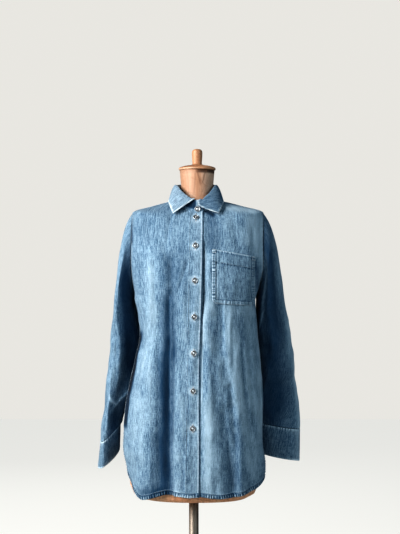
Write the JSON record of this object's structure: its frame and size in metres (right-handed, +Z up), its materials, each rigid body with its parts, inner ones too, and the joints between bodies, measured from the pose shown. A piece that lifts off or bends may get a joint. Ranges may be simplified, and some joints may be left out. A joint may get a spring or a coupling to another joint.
{
  "type": "denim shirt on dress form",
  "caption": "Long-sleeved denim shirt, buttoned to its collar with a chest pocket and a shirt-tail hem, on a limbless dress form with a wooden neck cap, a metal pole and a round base.",
  "frame": {"origin": "centre of the base's underside, on the pole's axis", "axes": "+Z up, -Y the shirt's front, +X the wearer's left"},
  "size_m": [0.5146, 0.38, 1.5048],
  "materials": {
    "denim": "mid-blue washed denim, matt, with pale worn seams",
    "button_metal": "aged nickel",
    "papier_mache": "varnished papier-mache, peach and tan with brown streaks",
    "cap_wood": "worn reddish varnish",
    "pole_metal": "dull browned steel",
    "base_metal": "black painted"
  },
  "bodies": {
    "root": {"front_right": "denim", "front_left": "denim", "back": "denim", "placket": "denim", "pocket": "denim", "collar_stand": "denim", "collar_fall": "denim", "sleeve_right": "denim", "sleeve_left": "denim", "cuff_right": "denim", "cuff_left": "denim", "button_1": "button_metal", "button_2": "button_metal", "button_3": "button_metal", "button_4": "button_metal", "button_5": "button_metal", "button_6": "button_metal", "button_7": "button_metal", "button_collar": "button_metal", "cuff_button_right": "button_metal", "cuff_button_left": "button_metal", "form_torso": "papier_mache", "neck_cap": "cap_wood", "pole": "pole_metal", "base": "base_metal"}
  },
  "joints": []
}
